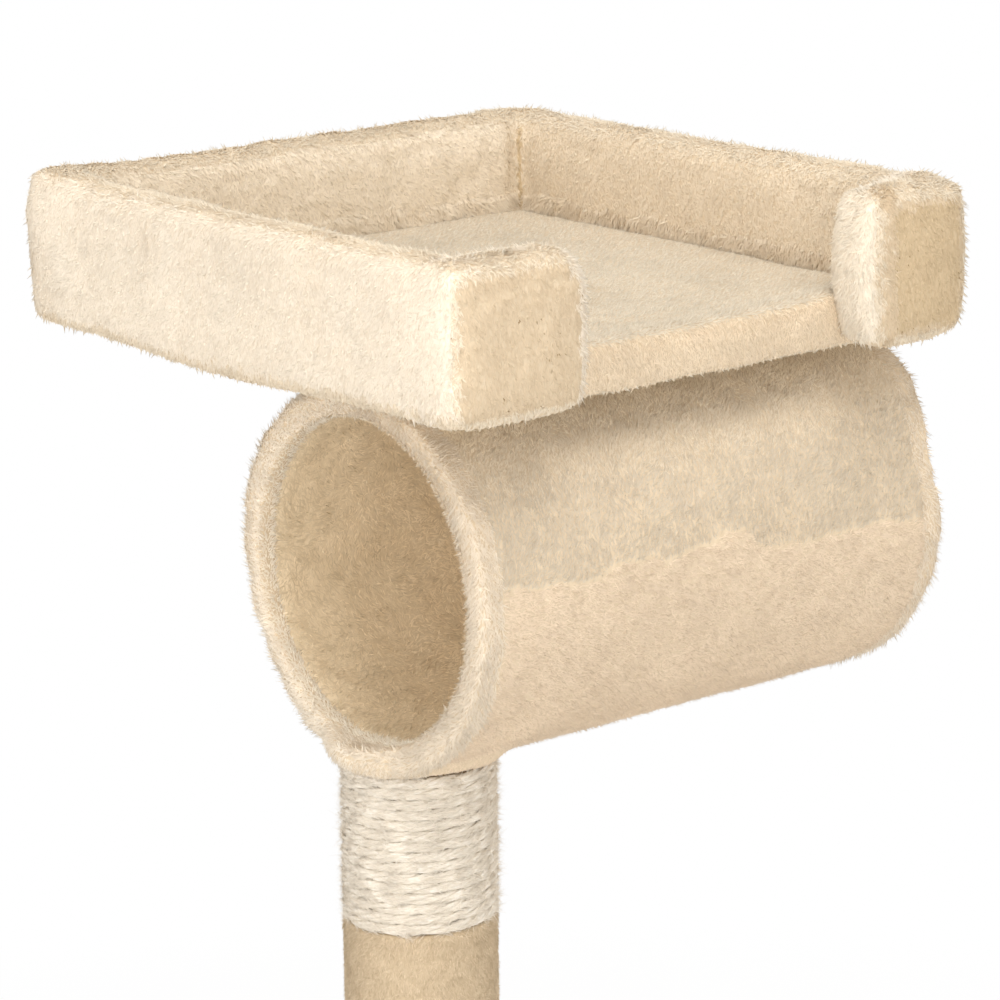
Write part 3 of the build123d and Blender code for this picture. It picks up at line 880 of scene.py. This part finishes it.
floor_low, floor_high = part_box("tray_floor_cover")
floor_pile = 1.8 * mm
lip_low = floor_low - Vector((0, 3 * mm, 0))
floor_skin = soft_form([block(lip_low, floor_high)], 40)
points = read_mesh(floor_skin)[0]
front_share = rising(floor_low.y + 26 * mm - points[:, 1], 20 * mm)
melt(floor_skin, front_share, 30)
points, normals, _ = read_mesh(floor_skin)
low = rising(floor_high.z - 12 * mm - points[:, 2], 14 * mm)
against_return = bell(points[:, 0] - 124 * mm, 24 * mm)
points = points + normals * (0.7 * mm * drift(points, 40 * mm, 90) - floor_pile)[:, None]
points[:, 2] += front_share * ((1.5 * mm + 3 * mm * against_return) * (1 - low) - 5 * mm * low)
move_points(floor_skin, points)
tray_floor = new_piece("tray_floor_cloth", floor_skin, [cream_cloth])
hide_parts("tray_floor_cover")
stroked = (229, 217, 197)
# The lip's rolled edge and front take a warmer, slightly paler dye: partly the rolled nap's tone, partly a
# painted highlight along the edge.
rolled_lip_highlight = (238, 220, 194)
tray_dyes = pile_dyes("floor_pile", stroked, rolled_lip_highlight, spread=1.3)


def floor_growth(part, roots, ups):
    x, y = roots[:, :2].T
    lip = (y < floor_low.y + 16 * mm) & (ups[:, 2] > -0.7)
    top = (ups[:, 2] > 0.6) & ~lip
    inside = np.abs(x) < floor_high.x - 6 * mm
    under = ups[:, 2] < -0.6
    away = np.abs(y - tunnel_y) > 34 * mm
    shown = (top | lip) & inside
    left = x < 0
    parts = {"left": shown & left, "right": shown & ~left, "under": under & away}
    spacing = np.where(under, 2.8 * mm, np.where(lip, 1.05 * mm, 1.2 * mm))
    swirl = swirls(roots, 30 * mm, 91)
    stroke = 0.6 * swirl + (0.9, -0.5, 0)
    front = 0.4 * swirl + (0, -0.4, -1.0)
    way = np.where(ups[:, 1:2] < -0.6, front, stroke)
    return {
        "spacing": np.where(parts[part], spacing, 0),
        "length": np.where(lip, 4.2 * mm, 3.8 * mm),
        "width": np.where(under, 2.2 * mm, 1.0 * mm),
        "lean": np.where(lip, radians(75), radians(78)),
        "way": way,
        "shade": 0.5 + 0.2 * drift(roots, 45 * mm, 94) + 0.18 * drift(roots, 7 * mm, 95),
        # The lip's edge and front: partly a painted highlight.
        "palette": np.where(lip & (ups[:, 2] < 0.75), 1, 0),
    }


for seed, part in ((96, "left"), (97, "right"), (98, "under")):
    grow = partial(floor_growth, part)
    pile(f"tray_floor_pile_{part}", floor_skin, tray_dyes, grow, seed)


# Tray wall covers: each board is wrapped in its own plush, and the covers are sewn together at the corners.
# The seams draw in at the near corner, at the right joint's top and down the right return's end.
wall_boxes = {wall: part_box(f"tray_{wall}_cover") for wall in wall_names}
wall_pile = 0.9 * mm
left_low, left_high = wall_boxes["left"]
right_low, right_high = wall_boxes["right"]
return_low, return_high = wall_boxes["front_left"]
end_low, end_high = wall_boxes["front_right"]
wall_top = left_high.z
plump_boxes = dict(wall_boxes)
plump_boxes["front_left"] = (return_low, return_high + Vector((8 * mm, 0, 0)))
plump_boxes["front_right"] = (end_low - Vector((9 * mm, 0, 0)), end_high)
ring_skin = soft_form([block(*plump_box) for plump_box in plump_boxes.values()], 120)
points = read_mesh(ring_skin)[0]
high = rising(points[:, 2] - wall_top + 26 * mm, 14 * mm)
in_front = rising(return_high.y + 8 * mm - points[:, 1], 16 * mm)
melt(ring_skin, np.maximum(high, in_front), 60)
melt(ring_skin, in_front * np.where(points[:, 0] > 0, 1, high), 50)
points, normals, _ = read_mesh(ring_skin)
x, y, z = points.T
high = rising(z - wall_top + 30 * mm, 20 * mm)
near_corner = (x < return_low.x + 25 * mm) & (y < return_low.y + 25 * mm)
past_seam = (x - return_low.x) - (y - return_low.y)
corner_crease = (0.6 * mm + 0.8 * mm * high) * bell(past_seam, 4 * mm) * near_corner
joint_crease = 0.5 * mm * bell(y - end_high.y, 6 * mm) * (x > right_low.x) * high
end_crease = 1.2 * mm * bell(y - (end_low.y + end_high.y) / 2, 7 * mm) * (x < end_low.x + 12 * mm)
end_crease = end_crease * (x > 0) * (y < end_high.y)
notch = bell(x - return_low.x - 14 * mm, 30 * mm) * bell(y - return_low.y, 34 * mm)
upper = rising(z - left_low.z - 25 * mm, 45 * mm)
lumps = 1.0 * mm * drift(points, 55 * mm, 100) + 0.6 * mm * drift(points, 22 * mm, 101)
lumps += (0.15 * mm + 0.6 * mm * high) * drift(points, 10 * mm, 120)
points = points + normals * (lumps - wall_pile - corner_crease - joint_crease - end_crease)[:, None]
back_low = wall_boxes["back"][0]
corner_draw = 5.5 * mm
for side in (-1, 1):
    in_corner = np.exp(-((x - side * right_low.x) ** 2 + (y - back_low.y) ** 2) / (10 * mm) ** 2)
    points[:, 0] += side * corner_draw * in_corner
    points[:, 1] += corner_draw * in_corner
puffed = np.exp(-(((x - left_low.x) / (45 * mm)) ** 2) - ((y - left_high.y) / (45 * mm)) ** 2)
raised = np.exp(-(((x - right_high.x) / (50 * mm)) ** 2) - ((y + 120 * mm) / (60 * mm)) ** 2)
sagging = bell(y - 5 * mm, 75 * mm) * (x < left_high.x)
low = rising(left_low.z + 25 * mm - z, 20 * mm)
points[:, 2] += (2 * mm + 4.5 * mm * puffed + 1 * mm * raised) * high - 5 * mm * sagging * low
in_front = rising(return_high.y + 8 * mm - y, 16 * mm)
points[:, 2] -= 3 * mm * in_front * low + (3 * mm * notch + 2 * mm * in_front * (x < 0)) * high
points[:, 2] += 2 * mm * in_front * (x > 0) * (high - low)
points[:, 1] -= 1.5 * mm * in_front
points[:, 0] += 6 * mm * in_front * rising(x - right_high.x + 30 * mm, 25 * mm)
far_left = rising(y - left_high.y + 60 * mm, 40 * mm) * (x < left_low.x + 20 * mm)
points[:, 0] -= 3.5 * mm * far_left * upper
plump = bell(z - (left_low.z + wall_top) / 2, 36 * mm) * in_front
points[:, 0] -= 5 * mm * plump * (x > 0) * rising(end_low.x + 18 * mm - x, 18 * mm)
corner = np.array((return_low.x, return_low.y, wall_top))
core_inset = 6 * mm
for keep_off in (13 * mm, 12.6 * mm, 12.2 * mm, 11.8 * mm):
    move_points(ring_skin, points)
    melt(ring_skin, 0.8 * bell(np.linalg.norm(points - corner, axis=1), 30 * mm), 9)
    points = read_mesh(ring_skin)[0]
    for wall in wall_names:
        board_start, board_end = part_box(f"tray_{wall}_board")
        core = points.clip(np.array(board_start) + core_inset, np.array(board_end) - core_inset)
        gap = np.linalg.norm(points - core, axis=1, keepdims=True)
        points = core + (points - core) * np.maximum(1, keep_off / gap)
move_points(ring_skin, points)


past_corner = right_low.x - 8 * mm
corner_round = 30 * mm
wall_cuts = [((0, return_high.y, 0), (0, 1, 0))]
wall_cuts += [((side * past_corner, 0, 0), (1, 0, 0)) for side in (-1, 1)]


def wall_at(x, y):
    """Which wall's cover a place on the ring belongs to. The inner corners' rounds go with the returns."""
    side = "left" if x < 0 else "right"
    between = abs(x) < past_corner
    if y < return_high.y or between and y < return_high.y + corner_round:
        return f"front_{side}"
    return "back" if between else side


def stretch_of(mesh, wall):
    """The stretch of the ring that covers one wall, first open, then closed."""
    stretch = bmesh.new()
    stretch.from_mesh(mesh)
    for place, across in wall_cuts:
        everything = stretch.verts[:] + stretch.edges[:] + stretch.faces[:]
        bmesh.ops.bisect_plane(stretch, geom=everything, plane_co=place, plane_no=across)
    others = [face for face in stretch.faces if wall_at(*face.calc_center_median().xy) != wall]
    bmesh.ops.delete(stretch, geom=others, context="FACES")
    opened = bpy.data.meshes.new("open_stretch")
    stretch.to_mesh(opened)
    bmesh.ops.holes_fill(stretch, edges=[edge for edge in stretch.edges if edge.is_boundary])
    closed = bpy.data.meshes.new("closed_stretch")
    stretch.to_mesh(closed)
    stretch.free()
    return opened, closed


# The shaded cloth lies under the painted shade dyes and is painted shade with them. The return cloth is
# darker to go under the return fronts' tan, which is partly painted shade.
wall_cloths = [plush_cloth("outer_cloth", 240, 227, 208)]
wall_cloths += [plush_cloth("return_cloth", 226, 208, 181), plush_cloth("shaded_cloth", 214, 193, 161)]
outer_cloth, return_cloth, shaded_cloth = range(3)
wall_shades = {
    "outer_wall": ((241, 229, 211), outer_cloth),
    # A darker, warmer tan on the returns' front faces: partly the nap seen against its lie, partly painted
    # shade of faces turned from the key lamp.
    "return_front_shaded": ((219, 199, 170), return_cloth),
    # The tops' tone, also laid as a paler band round the return fronts' edges and ends: there a painted
    # highlight of fluff catching light.
    "top_tone_and_edge_highlight": ((232, 218, 196), return_cloth),
    "inner_wall": ((233, 218, 195), return_cloth),
    "return_end": ((241, 230, 212), outer_cloth),
    # A paler dye on the inner faces along the back wall: painted light that lifts their shade.
    "inner_back_painted_light": ((246, 233, 212), outer_cloth),
    # A darker tan still, on the right return's front and in the inner back corners: painted shade.
    "right_front_painted_shade": ((212, 190, 156), shaded_cloth),
    # A dark dye for pinholes where the pile parts: painted shade.
    "parted_shade": ((160, 133, 97), shaded_cloth),
    # A paler dye on the returns' faces turned away from the lamps: painted light.
    "rear_edge_painted_light": ((243, 231, 213), outer_cloth),
}
wall_dyes = pile_dyes("wall_pile", *(colour for colour, _ in wall_shades.values()))
cloth_under_dye = np.array([cloth for _, cloth in wall_shades.values()])


def wall_growth(roots, ups):
    x, y, z = roots.T
    to_x, to_y, to_z = ups.T
    left, right = x < 0, x > 0
    swirl = swirls(roots, 26 * mm, 102)
    ragged = 0.1 * drift(roots, 4 * mm, 112) + 0.1 * drift(roots, 1.5 * mm, 113)
    under = to_z < -0.6
    top = to_z > 0.6
    edge = np.abs(ups).max(axis=1) < 0.9
    on_return = y < return_high.y
    front = (to_y < -0.7) & on_return
    left_end = left & (x > return_high.x - 14 * mm) & (to_x > 0.5)
    right_end = right & (x < end_low.x + 24 * mm) & (to_x < -0.15)
    end = on_return & (left_end | right_end)
    behind = (to_y > 0.5) & (y > left_high.y - 20 * mm)
    behind = behind | (to_x > 0.5) & (x > right_high.x - 20 * mm)
    inner = ~(under | top | front | end | behind) & (x > left_high.x - 8 * mm)
    buried = inner & (z < floor_high.z - 6 * mm)
    foot = inner & (z < floor_high.z + 10 * mm + 4 * mm * drift(roots, 12 * mm, 122))
    way = 0.9 * swirl + (0.1, 0, -1.0)
    way = np.where(top[:, None], 2.5 * ups * (1, 1, 0) + (-0.2, -0.2, 0) + 0.7 * swirl, way)
    way = np.where(front[:, None], 0.35 * swirl + (0, 0, -1.0), way)
    way = np.where(inner[:, None], 0.6 * swirl + (0.5, -0.5, -0.8), way)
    way = np.where(foot[:, None], 1.2 * swirl + (0, 0, -1.0), way)

    past_seam = (x - return_low.x) - (y - return_low.y)
    # Along the near corner's seam the tufts are shorter and dyed darker; the darker dye is painted shade in
    # the seam's groove.
    seam_and_shade = 0.5 * bell(past_seam, 2.2 * mm) * (x < return_low.x + 12 * mm)
    seam_and_shade = seam_and_shade * (y < return_low.y + 12 * mm) * (drift(roots, 3.5 * mm, 109) > 0.2)
    corner_seam = (np.abs(past_seam) < 3 * mm) & (x < return_low.x + 16 * mm)
    sideways = np.minimum(x - return_low.x, return_high.x - x)
    sideways = np.where(right, np.minimum(x - end_low.x, end_high.x - x), sideways)
    inset = np.minimum(sideways, np.minimum(z - left_low.z, wall_top - z))
    # Round the front faces' edges the tufts are longer and paler; the paler dye is a painted highlight.
    fluffy_edge_and_highlight = front & (to_y > 0.4 * ragged - 0.88) & (inset < 12 * mm + 30 * mm * ragged)
    # The flat middle of the right return's front takes the darkest tan: painted shade.
    shaded_flat_face = right & (inset > 8 * mm + 30 * mm * ragged) & (to_y < 0.3 * ragged - 0.95)
    along_back = (to_y < -0.5) & (y > 0) & (x < right_low.x - 12 * mm + 30 * mm * ragged)
    short_of_right = np.abs(x) - right_low.x
    short_of_back = y - back_low.y
    # A line of darker tufts down the inner back corners: painted shade in the corners.
    corner_shade_line = np.abs(short_of_right - short_of_back) < 1.6 * mm + 4 * mm * ragged
    corner_shade_line = corner_shade_line & (np.hypot(short_of_right, short_of_back) < 16 * mm)
    towards_front = np.where(right & (to_y < 0), to_x, -1)
    # Pinholes: scattered short dark tufts on the return fronts and down the near corner's seam, painted
    # shade where the pile parts.
    shade_pinhole = (drift(roots, 16 * mm, 107) > 0.28) & (front & ~fluffy_edge_and_highlight & ~end | corner_seam)
    shade_pinhole = shade_pinhole & (drift(roots, 1.6 * mm, 108) > 0.58)
    layers = (
        ((to_z < ragged - 0.3) & ~front & ~end, "inner_wall"),
        (top & ((x > left_high.x - 6 * mm) | (to_z > 0.85 + ragged)), "top_tone_and_edge_highlight"),
        # The return fronts: partly painted shade.
        (front, "return_front_shaded"),
        (front & shaded_flat_face, "right_front_painted_shade"),
        (fluffy_edge_and_highlight, "top_tone_and_edge_highlight"),
        (inner, "inner_wall"),
        # Paler along the back wall inside: painted light.
        (inner & along_back, "inner_back_painted_light"),
        (inner & corner_shade_line, "right_front_painted_shade"),
        (end, "return_end"),
        (end & (towards_front > ragged - 0.48), "top_tone_and_edge_highlight"),
        (end & (towards_front > ragged - 0.28), "return_front_shaded"),
        # The returns' faces turned from the lamps take the paler dye: painted light.
        (on_return & left & (x > return_high.x - 20 * mm) & (to_x > 0.3 + ragged), "rear_edge_painted_light"),
        (on_return & (to_y > 0.5 * ragged) & ~end, "rear_edge_painted_light"),
        (shade_pinhole, "parted_shade"),
    )

    length = np.where(front & ~fluffy_edge_and_highlight, 3.8 * mm, np.where(end, 4.6 * mm, 4.2 * mm)) * (1 - 0.5 * seam_and_shade)
    length = np.where(foot, 5.5 * mm + 2.5 * mm * drift(roots, 6 * mm, 121), length)
    standing = np.where(end & right, 0.26, np.where(edge | end, 0.16, 0.08))
    standing = np.where(to_y > 0.15, 0.05, standing)
    spacing = np.where(under, 3 * mm, np.where(behind, 1.6 * mm, 1.12 * mm))
    return {
        "spacing": np.where(buried, 0, spacing),
        "length": np.where(shade_pinhole, 2.2 * mm, length),
        "width": np.where(under, 2.2 * mm, np.where(behind, 1.8 * mm, 1.3 * mm)),
        "lean": np.where(foot, radians(58), np.where(end, radians(72), radians(77))),
        "way": way,
        "shade": 0.5 + 0.14 * drift(roots, 38 * mm, 105) + 0.14 * drift(roots, 6 * mm, 106) - 0.5 * seam_and_shade,
        "palette": painted(wall_shades, "outer_wall", layers),
        "standing": np.where(shade_pinhole, 0.6, standing),
        "standing_length": np.where(top | edge | end, 0.95, 0.65),
    }


for number, wall in enumerate(wall_names):
    opened, closed = stretch_of(ring_skin, wall)
    centres = np.empty(3 * len(closed.polygons))
    facing = np.empty(3 * len(closed.polygons))
    closed.polygons.foreach_get("center", centres)
    closed.polygons.foreach_get("normal", facing)
    dye = wall_growth(centres.reshape(-1, 3), facing.reshape(-1, 3))["palette"]
    cover = new_piece(f"tray_{wall}_cloth", closed, wall_cloths)
    closed.polygons.foreach_set("material_index", cloth_under_dye[dye].astype(np.int32))
    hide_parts(f"tray_{wall}_cover")
    pile(f"tray_{wall}_pile", opened, wall_dyes, wall_growth, 110 + number)


# Studio: a pale floor that keeps the tree's shadow, and six large soft lamps round the tree. Those on the
# left, above and in front are the stronger ones.
# The camera stands left of the tray's open front, a little above it.
def seen_directly(tree):
    """One where the camera looks at a surface, also in a reflection or through glass, else nought."""
    light = add_node(tree, "LightPath")
    seen = light["Is Camera Ray"]
    for ray in ("Is Glossy Ray", "Is Transmission Ray"):
        seen = add_node(tree, "Math", seen, light[ray], operation="MAXIMUM")["Value"]
    return seen


fade_from = 0.4
fade_to = 1.3


def white_surface(name, share):
    """A pale surface that the camera sees as nearly white, with the shadows on it."""
    material = bpy.data.materials.new(name)
    material.use_nodes = True
    tree = material.node_tree
    tree.nodes.clear()
    place = add_node(tree, "NewGeometry")["Position"]
    away = add_node(tree, "VectorMath", place, operation="LENGTH")["Value"]
    fade = add_node(tree, "MapRange", away, fade_from, fade_to, share, 1.0)["Result"]
    part = add_node(tree, "Math", seen_directly(tree), fade, operation="MULTIPLY")["Value"]
    matt = add_node(tree, "BsdfDiffuse", (0.8, 0.8, 0.8, 1))["BSDF"]
    glow = add_node(tree, "Emission")["Emission"]
    mixed = add_node(tree, "MixShader", part, matt, glow)["Shader"]
    add_node(tree, "OutputMaterial", mixed)
    return material


floor_half = 12.0
floor_level = -0.5 * mm
floor_corners = [(-1, -1), (1, -1), (1, 1), (-1, 1)]
floor_points = [(x * floor_half, y * floor_half, floor_level) for x, y in floor_corners]
floor_mesh = new_mesh("floor", floor_points, [(0, 1, 2, 3)])
floor_mesh.materials.append(white_surface("studio_floor", 0.7))
floor = put_in_scene("floor", floor_mesh)

world = bpy.data.worlds.new("studio")
bpy.context.scene.world = world
world.use_nodes = True
tree = world.node_tree
backdrop = tree.nodes["Background"]
backdrop.inputs["Color"].default_value = (1, 0.985, 0.96, 1)
backdrop.inputs["Strength"].default_value = 0.52
white = add_node(tree, "Background", (1, 1, 1, 1))["Background"]
mixed = add_node(tree, "MixShader", seen_directly(tree), backdrop.outputs["Background"], white)["Shader"]
tree.links.new(mixed, tree.nodes["World Output"].inputs["Surface"])

lamp_white = (1, 0.99, 0.97)
tree_middle = Vector((0, 0, 0.78))
for name, place, size, power in (
    ("key_lamp", (-2.4, -0.6, 1.65), 1.4, 26),
    ("top_lamp", (-0.4, -0.8, 2.75), 1.6, 28),
    ("front_lamp", (-1.3, -2.4, 0.5), 1.8, 30),
    ("back_lamp", (0.9, 2.3, 2.0), 1.8, 17),
    ("right_lamp", (2.2, -1.4, 1.0), 1.8, 9),
    ("far_right_lamp", (2.5, 0.8, 1.0), 1.8, 15),
):
    lamp = bpy.data.lights.new(name, "AREA")
    lamp.shape = "DISK"
    lamp.size = size
    lamp.energy = power
    lamp.color = lamp_white
    holder = put_in_scene(name, lamp)
    holder.location = place
    holder.rotation_euler = (tree_middle - Vector(place)).to_track_quat("-Z", "Y").to_euler()

view_azimuth = radians(-39.852)
view_elevation = radians(14.364)
view_roll = radians(-0.567)
view_distance = 2.42048
view_aim = Vector((0.00393, 0, 0.73684))
flat = cos(view_elevation)
view_back = Vector((sin(view_azimuth) * flat, -cos(view_azimuth) * flat, sin(view_elevation)))
level = Vector((cos(view_azimuth), sin(view_azimuth), 0))
upright = view_back.cross(level)
view_right = level * cos(view_roll) + upright * sin(view_roll)
view_up = upright * cos(view_roll) - level * sin(view_roll)
camera_data = bpy.data.cameras.new("camera")
camera_data.sensor_width = 36
camera_data.lens = 146.343
camera = put_in_scene("camera", camera_data)
camera.matrix_world = Matrix((view_right, view_up, view_back)).transposed().to_4x4()
camera.location = view_aim + view_back * view_distance
bpy.context.scene.camera = camera
bpy.context.scene.view_settings.view_transform = "Standard"
